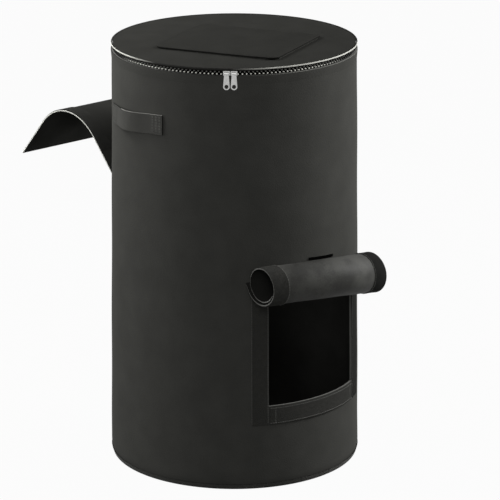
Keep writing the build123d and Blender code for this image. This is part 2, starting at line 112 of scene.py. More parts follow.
# Arch of the back flap, which bends over the first stretch from its seam; its hook strips start thin
ARCH_RISE_ANGLE = np.radians(48.5)
ARCH_RISE_RUN = 0.098
ARCH_CROWN_RADIUS = 0.1002
ARCH_CROWN_TURN = np.radians(97.1)
ARCH_FALL_RUN = 0.0984
HOOK_START_SHARE = 0.1

# Zip and the lid's cloth hinge
ZIP_FRONT = np.radians(-43.8)
ZIP_HALF_TURN = np.radians(150)
ZIP_START = ZIP_FRONT - ZIP_HALF_TURN
ZIP_TAPE_DEPTH = 0.018
TOOTH_COUNT = 154
TOOTH_TURN = np.radians(1.93779)
TOOTH_RADIUS = 0.2188
TOOTH_SIZE = (0.0022, 0.0038, 0.0022)
TOOTH_PROFILE = ((0, 0.75), (0.2, 1), (0.8, 1), (1, 0.75))
LOWER_TEETH_LOW = 0.7694
UPPER_TEETH_HIGH = 0.7752
HINGE_HALF = np.radians(15.23)

# Piping of the lid: its rounding, and the lower edge, steepness and inset of its outer face, which carries a
# painted highlight
PIPING_ROUND = 0.0011
PIPING_LIT_SHARE = 0.45
PIPING_LIT_SLOPE = 0.6
PIPING_LIT_INSET = 0.0006

# Azimuths where the piping's painted highlight is weakest and the rim edge's painted highlight strongest
PIPING_DARK = np.radians(-62)
RIM_HIGHLIGHT_AZIMUTH = np.radians(40)

# Feed hatch, with its edge pressed down and one side curled up
HATCH_LENGTH = 0.240
HATCH_WIDTH = 0.205
HATCH_CENTRE = np.array((-0.006, -0.019))
HATCH_TURN = np.radians(-66.5)
HATCH_LAP = 0.020
HATCH_CORNER = 0.014
LEAST_CORNER = 0.002
HATCH_STRIP_WIDTH = 0.016
HATCH_HOOK_SHARE = 0.8
HATCH_HINGE_RISE = 0.0007
HATCH_EDGE_DROP = 0.0012
HATCH_EDGE_FADE = 0.004
HATCH_CURL = 0.0015
HATCH_INSETS = np.array((0, 0.0015, 0.004, 0.009, 0.018, 0.032, 0.05, 0.07, 0.085))

# Carrying straps, which hang a little low and askew; their level edges carry a painted highlight towards the
# front and their other cut edges painted shade
HANDLE_AZIMUTH = np.radians(97)
HANDLE_LENGTH = 0.160
HANDLE_PAD = 0.022
HANDLE_BOW = 0.008
STRAP = 0.0024
STRAP_TILT = 0.0045
STRAP_SINK = 0.005
# The painted highlight reaches the strap edges in front of this y
STRAP_HIGHLIGHT_REACH = 0.05
STRAP_LEVEL_FACE = 0.5

# The wall stands a little wider at its foot and isn't perfectly even.
# Each of its waves has a count per radian, a count per metre and a phase.
FOOT_FLARE = 0.0095
FOOT_TUCK = 0.004
FOOT_ROUND = 0.020
WALL_WAVE = 0.0006
WALL_WAVES = ((5, 11, 0.0), (2, -17, 1.0))
WAVE_FADE = 0.08

# Thread, and where its rows lie from a strap's end
STITCH_LENGTH = 0.0032
STITCH_PITCH = 0.0045
STITCH_WIDTH = 0.0008
STITCH_HEIGHT = 0.0005
STITCH_PROFILE = ((0, 0.2), (0.25, 1), (0.75, 1), (1, 0.2))
STITCH_MARGIN = 0.003
STITCH_ROWS = (0.0045, 0.0065, 0.0125, 0.0145, 0.0205, 0.0225)
BOX_STITCH = 0.012

# Sizes read from the frame
WALL_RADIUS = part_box("wall_panel")[1].x - FOOT_FLARE
WALL_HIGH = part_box("wall_panel")[1].z
LID_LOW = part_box("lid_panel")[0].z
LID_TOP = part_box("lid_panel")[1].z
LID_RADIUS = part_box("lid_panel")[1].x
STRAP_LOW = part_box("handle_left")[0].z
STRAP_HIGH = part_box("handle_left")[1].z

# Places that follow from them
SKIN = WALL_RADIUS + LAYER_GAP
TAPE_LIFT = LAYER_GAP + TAPE
STRIP_LIFT = TAPE_LIFT + LAYER_GAP
ZIP_TAPE_OUTER = WALL_RADIUS - CLOTH - LAYER_GAP
ZIP_TAPE_INNER = ZIP_TAPE_OUTER - ZIP_TAPE
DOOR_HALF = DOOR_WIDTH / 2 / WALL_RADIUS
FACING_HALF = DOOR_HALF + FACING_BORDER / WALL_RADIUS
FRONT = 0.0
BACK = np.pi
BACK_SKIN = SKIN + FOOT_FLARE * (1 - BACK_SEAM / WALL_HIGH)
ARCH_ROOT = np.sqrt(BACK_SKIN**2 - HALF_FLAP**2)
ARCH_LENGTH = ARCH_RISE_RUN + ARCH_CROWN_RADIUS * ARCH_CROWN_TURN + ARCH_FALL_RUN
HATCH_ALONG = np.array((np.cos(HATCH_TURN), np.sin(HATCH_TURN)))
HATCH_ACROSS = np.array((-HATCH_ALONG[1], HATCH_ALONG[0]))
STRAP_TURN = HANDLE_LENGTH / 2 / WALL_RADIUS
BOW_TURN = STRAP_TURN - HANDLE_PAD / WALL_RADIUS

# Mesh density
WALL_STEP = np.radians(2)
STRAP_STEP = np.radians(1)
ROLL_STEP = np.radians(7.5)
BASE_STEP = 0.03
HEIGHT_STEP = 0.012
FINE_STEP = 0.006
TAPE_STEP = 0.005
FOOT_STEP = 0.0025
FOOT_TAPE_STEP = 0.0015
KEEPER_STEP = 0.001
RING_SEGMENTS = 240
PIPING_STEPS = 4
HATCH_CORNER_STEPS = 6
HATCH_SIDE_STEPS = 14
TAIL_COLUMNS = 6
LID_COLUMNS = 9

# Shading of edges, and how far they are rounded
SHARP_ANGLE = np.radians(38)
HARD_ANGLE = np.radians(50)
ROUNDING_SEGMENTS = 2
CLOTH_ROUNDING = 0.0006
STRAP_ROUNDING = 0.0007
METAL_ROUNDING = 0.0003

# Grain of the materials: sizes, and depths in metres or as shares of a size
PRESSED_FLECK = 0.0012
PRESSED_DEPTH = 0.12
YARN_FUZZ = 0.0006
YARN_DEPTH = 0.2
TUFT_HAIRS = 6
EDGE_FIBRE = 0.0015
EDGE_DEPTH = 0.0004
FOLD_FIBRE = 0.001
FOLD_DEPTH = 0.0003
METAL_HAZE = 0.004
METAL_SCRATCH = 0.0004
SCRATCH_DEPTH = 0.00005
FIBRE_GLOSS = 0.03


# Shader helpers

def wire(tree, made, inputs):
    """Sets or links the inputs of a node by their names or numbers."""
    for name, value in inputs.items():
        if isinstance(value, bpy.types.NodeSocket):
            tree.links.new(value, made.inputs[name])
        else:
            made.inputs[name].default_value = value


def node(tree, kind, inputs=None, **settings):
    """A shader node with its settings and its inputs."""
    made = tree.nodes.new("ShaderNode" + kind)
    for name, value in settings.items():
        setattr(made, name, value)
    wire(tree, made, inputs or {})
    return made


def math(tree, operation, *values):
    """A math node's result, from numbers and sockets in order."""
    return node(tree, "Math", dict(enumerate(values)), operation=operation).outputs[0]


def mixed(tree, first, second, share):
    """Two values added up, the first by its share and the second by the rest."""
    return math(tree, "ADD", math(tree, "MULTIPLY", first, share), math(tree, "MULTIPLY", second, 1 - share))


def noise(tree, place, size, detail=2.0):
    """Noise whose features have about this size in metres, from 0 to 1."""
    inputs = {"Vector": place, "Scale": 1 / size, "Detail": detail}
    return node(tree, "TexNoise", inputs).outputs["Fac"]


def ramp(tree, factor, dark, light, low=0.3, high=0.7):
    """Colour that goes from dark to light as a factor goes from low to high."""
    made = node(tree, "ValToRGB", {"Fac": factor})
    for stop, place, colour in zip(made.color_ramp.elements, (low, high), (dark, light)):
        stop.position = place
        stop.color = (*colour, 1)
    return made.outputs["Color"]


def grey(level, warmth=0.08):
    """A slightly warm grey of this linear level."""
    return (level, level, level * (1 - warmth))


def shades(level, contrast):
    """A darker and a lighter grey about a level."""
    return grey(level * (1 - contrast)), grey(level * (1 + contrast))


def surface(name):
    """A new material, its tree and its shader."""
    made = bpy.data.materials.new(name)
    made.use_nodes = True
    return made, made.node_tree, made.node_tree.nodes["Principled BSDF"]


def bump(tree, height, distance):
    """Normal of a height of 0 to 1 that stands for a distance in metres."""
    return node(tree, "Bump", {"Height": height, "Distance": distance, "Strength": 1.0}).outputs["Normal"]


def object_place(tree):
    """Place in the object's own frame, in metres."""
    return node(tree, "TexCoord").outputs["Object"]


def cloth_place(tree):
    """Distances along and across the cloth, in metres."""
    return node(tree, "UVMap", uv_map="cloth").outputs["UV"]


def nearness(tree, azimuth):
    """Cosine of the turn about the bin's axis from an azimuth."""
    flat = node(tree, "VectorMath", {0: object_place(tree), 1: (1, 1, 0)}, operation="MULTIPLY")
    aim = node(tree, "VectorMath", {0: flat.outputs["Vector"]}, operation="NORMALIZE")
    middle = (np.sin(azimuth), -np.cos(azimuth), 0)
    turned = node(tree, "VectorMath", {0: aim.outputs["Vector"], 1: middle}, operation="DOT_PRODUCT")
    return turned.outputs["Value"]


def pressed_cloth(name, level, contrast=0.12, grain=0.0022, roughness=0.84, gloss=0.0, cloud=0.045, spread=0.2):
    """Stiff non-woven cloth: cloudy tone, fine flecks of fibre and a pressed pebble grain."""
    made, tree, shader = surface(name)
    place = object_place(tree)
    clouds = noise(tree, place, cloud, detail=4.0)
    flecks = noise(tree, place, PRESSED_FLECK)
    pebbles = node(tree, "TexVoronoi", {"Vector": place, "Scale": 1 / grain}, feature="SMOOTH_F1")
    tone = mixed(tree, clouds, flecks, share=0.6)
    height = mixed(tree, pebbles.outputs["Distance"], flecks, share=0.7)
    wire(tree, shader, {
        "Base Color": ramp(tree, tone, *shades(level, contrast), 0.5 - spread, 0.5 + spread),
        "Normal": bump(tree, height, grain * PRESSED_DEPTH),
        "Roughness": math(tree, "ADD", math(tree, "MULTIPLY", clouds, 0.16), roughness - 0.08),
        "Specular IOR Level": gloss,
    })
    return made


def woven(name, level, pitch, roughness, twill):
    """Woven tape or webbing: crossing yarns of one pitch, or a diagonal rib for twill."""
    made, tree, shader = surface(name)
    place = cloth_place(tree)
    split = node(tree, "SeparateXYZ", {"Vector": place})
    along, across = [math(tree, "MULTIPLY", split.outputs[axis], 2 * np.pi / pitch) for axis in "XY"]
    if twill:
        yarn = math(tree, "SINE", math(tree, "ADD", along, across))
    else:
        yarn = math(tree, "MULTIPLY", math(tree, "SINE", along), math(tree, "SINE", across))
    height = math(tree, "ADD", math(tree, "MULTIPLY", yarn, 0.5), 0.5)
    tone = mixed(tree, height, noise(tree, place, YARN_FUZZ), share=0.5)
    wire(tree, shader, {
        "Base Color": ramp(tree, tone, *shades(level, contrast=0.35)),
        "Normal": bump(tree, height, pitch * YARN_DEPTH),
        "Roughness": roughness,
        "Specular IOR Level": FIBRE_GLOSS,
    })
    return made


def pile(name, level, hair, contrast):
    """Fuzzy face of a hook or loop strip."""
    made, tree, shader = surface(name)
    place = object_place(tree)
    hairs = noise(tree, place, hair, detail=3.0)
    tufts = noise(tree, place, hair * TUFT_HAIRS)
    wire(tree, shader, {
        "Base Color": ramp(tree, mixed(tree, hairs, tufts, share=0.75), *shades(level, contrast)),
        "Normal": bump(tree, hairs, hair),
        "Roughness": 0.95,
        "Specular IOR Level": FIBRE_GLOSS,
    })
    return made


def cut_edge(name, level):
    """Raw or folded edge of a sheet, where the fibres catch the light."""
    made, tree, shader = surface(name)
    fibres = noise(tree, object_place(tree), EDGE_FIBRE, detail=3.0)
    wire(tree, shader, {
        "Base Color": ramp(tree, fibres, grey(level * 0.6), grey(level * 1.3)),
        "Normal": bump(tree, fibres, EDGE_DEPTH),
        "Roughness": 0.8,
    })
    return made


def painted_light_edge(name, azimuth, away, near, low, high):
    """Folded edge round the rim with painted light: one level about an azimuth, another further round, so a
    painted highlight comes and goes round the bin.
    """
    made, tree, shader = surface(name)
    fibres = noise(tree, object_place(tree), FOLD_FIBRE)
    wire(tree, shader, {
        "Base Color": ramp(tree, nearness(tree, azimuth), grey(away), grey(near), low, high),
        "Normal": bump(tree, fibres, FOLD_DEPTH),
        "Roughness": 0.7,
        "Specular IOR Level": 0.05,
    })
    return made


def teeth_with_painted_glint(name, dark, light):
    """Zip teeth with a painted highlight: light about the front and dark further round."""
    made, tree, shader = surface(name)
    wire(tree, shader, {
        "Base Color": ramp(tree, nearness(tree, ZIP_FRONT), grey(dark), grey(light), 0.45, 0.8),
        "Roughness": 0.45,
        "Metallic": 0.5,
        "Specular IOR Level": 0.1,
    })
    return made


def cast_metal(name, level, roughness):
    """Die-cast or stamped metal with fine scratches."""
    made, tree, shader = surface(name)
    place = object_place(tree)
    haze = noise(tree, place, METAL_HAZE, detail=3.0)
    scratch = noise(tree, place, METAL_SCRATCH)
    wire(tree, shader, {
        "Base Color": ramp(tree, haze, grey(level * 0.85, 0.02), grey(level, 0.02)),
        "Normal": bump(tree, scratch, SCRATCH_DEPTH),
        "Roughness": math(tree, "ADD", math(tree, "MULTIPLY", haze, 0.15), roughness - 0.07),
        "Metallic": 1.0,
    })
    return made


BODY_CLOTH = pressed_cloth("body_cloth", 0.048, contrast=0.14, gloss=0.02)
LID_CLOTH = pressed_cloth("lid_cloth", 0.027)
# Darker copy of the lid's cloth: painted shade on the hatch
HATCH_CLOTH_PAINTED_SHADE = pressed_cloth("hatch_cloth_painted_shade", 0.0245)
# Strong cloudy tone: partly the flap cloth's own mottle, partly painted patches of highlight on the roll
FLAP_MOTTLE_AND_HIGHLIGHT_CLOTH = pressed_cloth(
    "flap_cloth_mottle_and_painted_highlights", 0.043, contrast=0.32, roughness=0.62, gloss=0.11, cloud=0.032, spread=0.08
)
ARCH_CLOTH = pressed_cloth("arch_cloth", 0.023, contrast=0.14, roughness=0.80)
LINING = pressed_cloth("lining", 0.013, contrast=0.20, grain=0.0018, roughness=0.88)
ARCH_LINING = pressed_cloth("arch_lining", 0.038, contrast=0.20, grain=0.0018, roughness=0.88)
FACING = pressed_cloth("facing_cloth", 0.042, grain=0.0016)
KEEPER_TAPE = pressed_cloth("keeper_tape", 0.002, contrast=0.1, grain=0.0018, roughness=0.9)
BINDING = woven("binding_tape", 0.048, pitch=0.0012, roughness=0.55, twill=True)
WEBBING = woven("webbing", 0.053, pitch=0.0022, roughness=0.70, twill=False)
ZIP_CLOTH = woven("zip_tape", 0.012, pitch=0.0012, roughness=0.75, twill=True)
HOOK_PILE = pile("hook_pile", 0.036, hair=0.0009, contrast=0.5)
# Darker copies of the hook and loop pile for the right-hand strips: painted shade
HOOK_PILE_PAINTED_SHADE = pile("hook_pile_painted_shade", 0.009, hair=0.0009, contrast=0.5)
HOOK_TAPE = pile("hook_tape", 0.021, hair=0.0009, contrast=0.25)
LOOP_PILE = pile("loop_pile", 0.034, hair=0.0012, contrast=0.25)
LOOP_PILE_PAINTED_SHADE = pile("loop_pile_painted_shade", 0.015, hair=0.0012, contrast=0.25)
EDGE = cut_edge("cut_edge", 0.10)
LIGHT_EDGE = cut_edge("light_cut_edge", 0.50)
# Lighter edge for the straps' painted highlight
STRAP_HIGHLIGHT_EDGE = cut_edge("strap_edge_painted_highlight", 0.20)
THREAD = cut_edge("thread", 0.085)
# Lighter copy of the thread: painted highlight on the stitching of the roll and the straps' front ends
HIGHLIGHT_THREAD = cut_edge("thread_painted_highlight", 0.14)
# Painted highlight on the piping's outer face: light on both sides of the bin, dark about the front left
PIPING_HIGHLIGHT = painted_light_edge("piping", PIPING_DARK, away=0.55, near=0.02, low=0.80, high=0.95)
# Painted highlight on the rim tape's crest: light about the front right, dark further round
RIM_HIGHLIGHT = painted_light_edge("rim_edge_painted_highlight", RIM_HIGHLIGHT_AZIMUTH, away=0.015, near=0.14, low=0.1, high=0.6)
# Painted highlight on the teeth about the front; the upper row's copy stays dark as painted shade under the lid
TOOTH_METAL = teeth_with_painted_glint("tooth_metal", dark=0.03, light=0.70)
SHADED_TOOTH_METAL = teeth_with_painted_glint("shaded_tooth_metal", dark=0.03, light=0.12)
ZIP_METAL = cast_metal("zip_metal", 0.45, roughness=0.40)
SLIDER_METAL = cast_metal("slider_metal", 0.45, roughness=0.36)


# Mesh helpers

# The last two are the straps' painted shade and painted highlight on their cut edges
FACE, BEHIND, RIM, STRAP_SHADE_RIM, STRAP_HIGHLIGHT_RIM = range(5)


def stops(step, *marks):
    """Values about one step apart that pass through every mark."""
    values = [marks[0]]
    for low, high in zip(marks, marks[1:]):
        count = max(1, round((high - low) / step))
        values.extend(np.linspace(low, high, count + 1)[1:])
    return np.array(values)


def cells(values):
    """Middles between neighbouring values."""
    return (values[1:] + values[:-1]) / 2


def lengths(points):
    """Distance along a row of points to each of them."""
    return np.concatenate([[0], np.cumsum(np.linalg.norm(np.diff(points, axis=0), axis=1))])


def normals(grid):
    """Unit normals of a grid of points, on the side where its rows turn into its columns."""
    facing = np.cross(np.gradient(grid, axis=0), np.gradient(grid, axis=1))
    return facing / np.linalg.norm(facing, axis=-1, keepdims=True)


def at_height(flat, height):
    """Points of a plane, with their heights added."""
    return np.concatenate([flat, np.broadcast_to(height, flat.shape[:2])[..., None]], axis=-1)


def make(name, points, faces, materials, finish=None, places=None):
    """A mesh object, without unused points, with a cloth map in metres and soft shading."""
    used = sorted({corner for face in faces for corner in face})
    index = {corner: number for number, corner in enumerate(used)}
    loops = [[index[corner] for corner in face] for face in faces]
    mesh = bpy.data.meshes.new(name)
    mesh.from_pydata([tuple(points[corner]) for corner in used], [], loops)
    for material in materials:
        mesh.materials.append(material)
    mesh.polygons.foreach_set("material_index", finish or [FACE] * len(faces))
    layer = mesh.uv_layers.new(name="cloth")
    places = places or [(0, 0)] * sum(len(face) for face in faces)
    layer.data.foreach_set("uv", np.array(places, np.float32).ravel())
    mesh.shade_smooth()
    mesh.set_sharp_from_angle(angle=SHARP_ANGLE)
    piece = bpy.data.objects.new(name, mesh)
    bpy.context.scene.collection.objects.link(piece)
    return piece


def slab(name, back, front, materials, keep=None, around=False, cap=False):
    """Closed sheet between two grids of points, with holes where keep is false.
    Materials are those of its front, its back and its cut edges."""
    rows, columns = front.shape[:2]
    lines = rows if around else rows - 1
    keep = np.ones((lines, columns - 1), bool) if keep is None else keep
    points = np.concatenate([back.reshape(-1, 3), front.reshape(-1, 3)])
    middle = front[:, columns // 2]
    along = lengths(np.concatenate([middle, middle[:1]]))
    across = lengths(front[rows // 2])
    faces, finish, places = [], [], []

    def quad(corners, material):
        faces.append([(side * rows + i % rows) * columns + j for i, j, side in corners])
        finish.append(material)
        places.extend((along[i], across[j]) for i, j, side in corners)

    def kept(i, j):
        inside = 0 <= j < columns - 1 and (around or 0 <= i < lines)
        return inside and keep[i % lines, j]

    for i, j in zip(*np.nonzero(keep)):
        loop = [(i, j), (i + 1, j), (i + 1, j + 1), (i, j + 1)]
        quad([(*corner, 1) for corner in loop], FACE)
        quad([(*corner, 0) for corner in reversed(loop)], BEHIND)
        for number, neighbour in enumerate([(i, j - 1), (i + 1, j), (i, j + 1), (i - 1, j)]):
            if kept(*neighbour) or cap and neighbour[1] == columns - 1:
                continue
            first, second = loop[number], loop[(number + 1) % 4]
            quad([(*second, 1), (*first, 1), (*first, 0), (*second, 0)], RIM)
    if cap:
        quad([(i, columns - 1, 1) for i in range(rows)], FACE)
        quad([(i, columns - 1, 0) for i in reversed(range(rows))], BEHIND)
    return make(name, points, faces, materials, finish, places)


def cloth_sheet(name, middle, materials):
    """Closed sheet of the cloth's thickness about a grid of points."""
    half = normals(middle) * CLOTH / 2
    return slab(name, middle - half, middle + half, materials)


def rounded(low, high, corner, steps):
    """Rounded rectangle between two corners, counterclockwise, each corner in this many steps."""
    near, far = np.add(low, corner), np.subtract(high, corner)
    outline = []
    for turn, middle in enumerate([(far[0], near[1]), far, (near[0], far[1]), near]):
        for angle in (turn - 1 + np.linspace(0, 1, steps + 1)) * np.pi / 2:
            outline.append(middle + corner * np.array((np.cos(angle), np.sin(angle))))
    return np.array(outline)


def hoop(name, outline, material):
    """Ring about the bin's axis with a closed section of radii and heights."""
    azimuths = np.linspace(-np.pi, np.pi, RING_SEGMENTS, endpoint=False)
    section = len(outline)
    points = [(r * np.sin(a), -r * np.cos(a), z) for a in azimuths for r, z in outline]
    across = lengths(np.concatenate([outline, outline[:1]]))
    step = 2 * np.pi * WALL_RADIUS / RING_SEGMENTS
    faces, places = [], []
    for i in range(RING_SEGMENTS):
        for j in range(section):
            corners = [(i, j), (i + 1, j), (i + 1, j + 1), (i, j + 1)]
            faces.append([(a % RING_SEGMENTS) * section + b % section for a, b in corners])
            places.extend((a * step, across[b]) for a, b in corners)
    return make(name, points, faces, [material], places=places)


def repaint(piece, chosen, material):
    """Gives the faces that are chosen another material."""
    piece.data.materials.append(material)
    for face in piece.data.polygons:
        if chosen(face):
            face.material_index = len(piece.data.materials) - 1


def soften(piece, width):
    """Rounds the hard edges of a piece."""
    bevel = piece.modifiers.new("soft_edges", "BEVEL")
    bevel.width = width
    bevel.segments = ROUNDING_SEGMENTS
    bevel.limit_method = "ANGLE"
    bevel.angle_limit = HARD_ANGLE


def dress(piece, body, slot, *nodes):
    """Puts a piece on its body, in place of the solids that it stands for."""
    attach(piece, body)
    if nodes:
        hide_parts(*nodes)


def bar_faces(first):
    """Faces of a bar of four rings of four points, which are numbered from the first."""
    faces = []
    for ring in range(first, first + 12, 4):
        for k in range(4):
            faces.append([ring + k, ring + (k + 1) % 4, ring + 4 + (k + 1) % 4, ring + 4 + k])
    faces.append([first + 3, first + 2, first + 1, first])
    faces.append([first + 12, first + 13, first + 14, first + 15])
    return faces


def stitches(name, runs, material=THREAD):
    """Rows of thread: each run is a line of points and the normals of the cloth there."""
    points, faces = [], []
    for line, facing in runs:
        reach = lengths(line)
        count = int(reach[-1] / STITCH_PITCH)
        for number in range(count):
            start = (number + 0.5) * reach[-1] / count - STITCH_LENGTH / 2
            first, last = [
                np.array([np.interp(start + run, reach, line[:, k]) for k in range(3)])
                for run in (0, STITCH_LENGTH)
            ]
            up = np.array([np.interp(start, reach, facing[:, k]) for k in range(3)])
            side = np.cross(last - first, up)
            side *= STITCH_WIDTH / 2 / np.linalg.norm(side)
            up = up * STITCH_HEIGHT / np.linalg.norm(up)
            faces.extend(bar_faces(len(points)))
            for share, height in STITCH_PROFILE:
                middle = first + (last - first) * share
                points.extend([middle - side, middle + up * height, middle + side, middle - up])
    return make(name, points, faces, [material])


# Shape of the standing wall

def outward(azimuth):
    """Unit vectors that point away from the bin's axis."""
    azimuth = np.asarray(azimuth, float)
    return np.stack([np.sin(azimuth), -np.cos(azimuth), np.zeros_like(azimuth)], axis=-1)


def swell(azimuth, height):
    """How far the cloth stands outside its rim's radius."""
    below = np.clip(1 - height / WALL_HIGH, 0, 1)
    fade = np.clip((WALL_HIGH - height) / WAVE_FADE, 0, 1) * np.clip(height / WAVE_FADE, 0, 1)
    wave = 1.0
    for per_radian, per_metre, phase in WALL_WAVES:
        wave = wave * np.sin(per_radian * azimuth + per_metre * height + phase)
    tuck = np.clip(1 - height / FOOT_ROUND, 0, 1) ** 2
    return FOOT_FLARE * below + WALL_WAVE * wave * fade - FOOT_TUCK * tuck


def on_wall(azimuth, height, lift=0.0):
    """Points on the wall's outer face, or lifted off it."""
    azimuth, height = np.broadcast_arrays(np.asarray(azimuth, float), np.asarray(height, float))
    radius = WALL_RADIUS + swell(azimuth, height) + lift
    return np.stack([radius * np.sin(azimuth), -radius * np.cos(azimuth), height], axis=-1)


def wall_layer(name, azimuth, height, low, high, materials, keep=None, around=False):
    """Layer on the wall between two lifts, over grids of azimuths and heights."""
    back, front = on_wall(azimuth, height, low), on_wall(azimuth, height, high)
    return slab(name, back, front, materials, keep, around)


def wall_patch(name, azimuths, heights, low, high, materials, keep=None, around=False):
    """Layer on the wall between two lifts, over every pair of an azimuth and a height."""
    grid = np.meshgrid(azimuths, heights, indexing="ij")
    return wall_layer(name, *grid, low, high, materials, keep, around)


def upright(azimuth, low, high, lift):
    """Run for a row of stitches up the wall."""
    heights = stops(HEIGHT_STEP, low, high)
    return on_wall(azimuth, heights, lift), np.repeat(outward([azimuth]), len(heights), axis=0)


def level(start, end, height, lift):
    """Run for a row of stitches along the wall."""
    azimuths = stops(WALL_STEP, start, end)
    return on_wall(azimuths, height, lift), outward(azimuths)


# Wall, base and bindings

azimuths = stops(WALL_STEP, -np.pi, DOOR_HALF - np.pi, -DOOR_HALF, DOOR_HALF, np.pi - DOOR_HALF, np.pi)
foot_heights = stops(FOOT_STEP, 0, FOOT_ROUND)
wall_heights = stops(HEIGHT_STEP, FOOT_ROUND, DOOR_LOW, BACK_LOW, DOOR_HIGH, BACK_HIGH, WALL_HIGH)
heights = np.append(foot_heights[:-1], wall_heights)
across, up = np.meshgrid(cells(azimuths), cells(heights), indexing="ij")
in_front = (abs(across) < DOOR_HALF) & (up > DOOR_LOW) & (up < DOOR_HIGH)
in_back = (abs(across) > np.pi - DOOR_HALF) & (up > BACK_LOW) & (up < BACK_HIGH)
closed = ~(in_front | in_back)
wall = wall_patch("wall", azimuths[:-1], heights, -CLOTH, 0, (BODY_CLOTH, LINING, EDGE), closed, True)
dress(wall, "bin", "body_cloth", "wall_panel")

base_radius = WALL_RADIUS - CLOTH - LAYER_GAP + FOOT_FLARE - FOOT_TUCK
base_radii = stops(BASE_STEP, -base_radius, -BASE_STEP) * -1
turn, radius = np.meshgrid(azimuths[:-1], base_radii, indexing="ij")
lying = outward(turn) * radius[..., None]
base = slab("base", lying, lying + (0, 0, CLOTH), (LINING, BODY_CLOTH, EDGE), around=True, cap=True)
dress(base, "bin", "body_cloth", "base_panel")

foot_binding = wall_patch(
    "foot_binding", azimuths[:-1], stops(FOOT_TAPE_STEP, 0, FOOT_TAPE_HEIGHT), LAYER_GAP, TAPE_LIFT,
    (BINDING, BINDING, LINING), around=True,
)
dress(foot_binding, "bin", "binding_tape", "base_binding")

rim_section = np.array([
    (SKIN, WALL_HIGH - RIM_TAPE_LOW),
    (SKIN + TAPE, WALL_HIGH - RIM_TAPE_FULL),
    (SKIN + TAPE, WALL_HIGH - RIM_TAPE_ROUND),
    (SKIN + TAPE / 2, WALL_HIGH),
    (SKIN, WALL_HIGH),
])
rim_binding = hoop("rim_tape", rim_section, BODY_CLOTH)
# The rim tape's crest takes the painted highlight
repaint(rim_binding, lambda face: face.center.z > WALL_HIGH - RIM_CREST, RIM_HIGHLIGHT)
dress(rim_binding, "bin", "binding_tape", "rim_binding")


# Doors: facing round the opening, with loop strips and stitching on it

def door(name, middle, low, high):
    """Facing, loop strips and stitching round a door opening."""
    turns = middle + stops(WALL_STEP, -FACING_HALF, -DOOR_HALF, DOOR_HALF, FACING_HALF)
    rises = stops(HEIGHT_STEP, low - FACING_FOOT, low, high, high + FACING_HEAD)
    across, up = np.meshgrid(cells(turns) - middle, cells(rises), indexing="ij")
    keep = ~((abs(across) < DOOR_HALF) & (up > low) & (up < high))
    materials = (FACING, FACING, EDGE)
    facing = wall_patch(f"{name}_facing_cloth", turns, rises, LAYER_GAP, TAPE_LIFT, materials, keep)
    dress(facing, "bin", "facing_cloth", f"{name}_facing")

    inset = STRIP_INSET / WALL_RADIUS
    foot = low - FACING_FOOT + STRIP_INSET
    lift = STRIP_LIFT + STRIP
    for side, start, end, top, loops in (
        ("left", -FACING_HALF + inset, -DOOR_HALF - inset, high, LOOP_PILE),
        # The right strip takes the loop pile's darker copy, painted shade
        ("right", DOOR_HALF + inset, FACING_HALF - inset, high, LOOP_PILE_PAINTED_SHADE),
        ("bottom", -DOOR_HALF + inset, DOOR_HALF - inset, low - STRIP_INSET, LOOP_PILE),
    ):
        strip_turns = middle + stops(WALL_STEP, start, end)
        strip_rises = stops(HEIGHT_STEP, foot, top)
        strip = wall_patch(f"{name}_{side}_loops", strip_turns, strip_rises, STRIP_LIFT, lift, (loops,) * 3)
        dress(strip, "bin", "hook_and_loop", f"{name}_loop_{side}")

    rows = []
    for side in (-1, 1):
        edge = middle + side * (DOOR_HALF + inset)
        box = middle + side * (DOOR_HALF - BOX_STITCH / WALL_RADIUS)
        outside = middle + side * (FACING_HALF - inset / 2)
        rows.append(upright(edge, foot + STRIP_INSET, high - STRIP_INSET, lift))
        rows.append(upright(box, foot, low - STRIP_INSET, lift))
        rows.append(upright(outside, foot, high, TAPE_LIFT))
    for height in (foot + STRIP_INSET, low - 2 * STRIP_INSET):
        rows.append(level(middle - DOOR_HALF + inset, middle + DOOR_HALF - inset, height, lift))
    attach(stitches(f"{name}_stitching", rows), "bin")


door("front_door", FRONT, DOOR_LOW, DOOR_HIGH)
door("back_door", BACK, BACK_LOW, BACK_HIGH)

keeper_half = KEEPER_LENGTH / 2 / WALL_RADIUS
keeper_turns = stops(WALL_STEP, -keeper_half, keeper_half)
turn, rise = np.meshgrid(keeper_turns, stops(KEEPER_STEP, 0, KEEPER_HEIGHT), indexing="ij")
height = KEEPER_LOW + KEEPER_LIFT + rise - KEEPER_SLOPE * turn / keeper_half
keeper = wall_layer("keeper", KEEPER_AZIMUTH + turn, height, LAYER_GAP, TAPE_LIFT, (KEEPER_TAPE,) * 3)
dress(keeper, "bin", "binding_tape", "roll_keeper_tab")


# Front flap, wound up into a roll

def roll_frame(x):
    """Root, middle, radius and heading of the wound sheet in the planes at x."""
    share = (x + FLAP_SHIFT) / HALF_FLAP
    radius = ROLL_RADIUS + ROLL_TAPER * share
    root = np.stack([-np.sqrt(ROLL_ROOT**2 - x**2), DOOR_SEAM - SEAM_DIP * share**2])
    middle = np.stack([
        -(ROLL_ROOT + ROLL_RADIUS) - ROLL_SKEW * share + ROLL_BOW * share**2,
        DOOR_SEAM - ROLL_DROP - ROLL_SLOPE * share - ROLL_DROOP * share**2,
    ])
    reach = middle - root
    heading = np.arctan2(reach[1], reach[0]) + np.arcsin(radius / np.hypot(*reach))
    return root, middle, radius, heading


